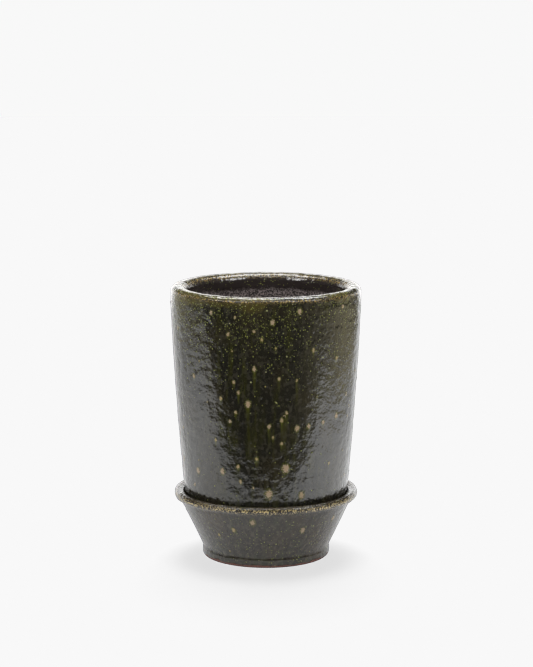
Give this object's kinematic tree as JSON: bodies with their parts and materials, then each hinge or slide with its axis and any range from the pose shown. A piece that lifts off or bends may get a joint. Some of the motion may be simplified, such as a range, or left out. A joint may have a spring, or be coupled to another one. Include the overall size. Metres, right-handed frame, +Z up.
{
  "type": "glazed plant pot with saucer",
  "caption": "Tall round glazed clay plant pot with a rolled lip and drain hole, standing loose in a deep conical saucer with a rolled lip and foot ring.",
  "frame": {"origin": "on the ground, at the centre of the saucer's foot ring, which is also the pot's axis", "axes": "+Z up along the axis of pot and saucer; X and Y are level, and one drainage notch under the pot points along +Y"},
  "size_m": [0.19, 0.19, 0.275],
  "materials": {
    "pot_glaze": "gloss",
    "saucer_glaze": "gloss"
  },
  "bodies": {
    "saucer": {"saucer": "saucer_glaze"},
    "pot": {"pot": "pot_glaze"}
  },
  "joints": [
    {"name": "pot_lift", "type": "slide", "parent": "saucer", "child": "pot", "axis": [0, 0, 1], "range_m": [0, 0.09]}
  ]
}
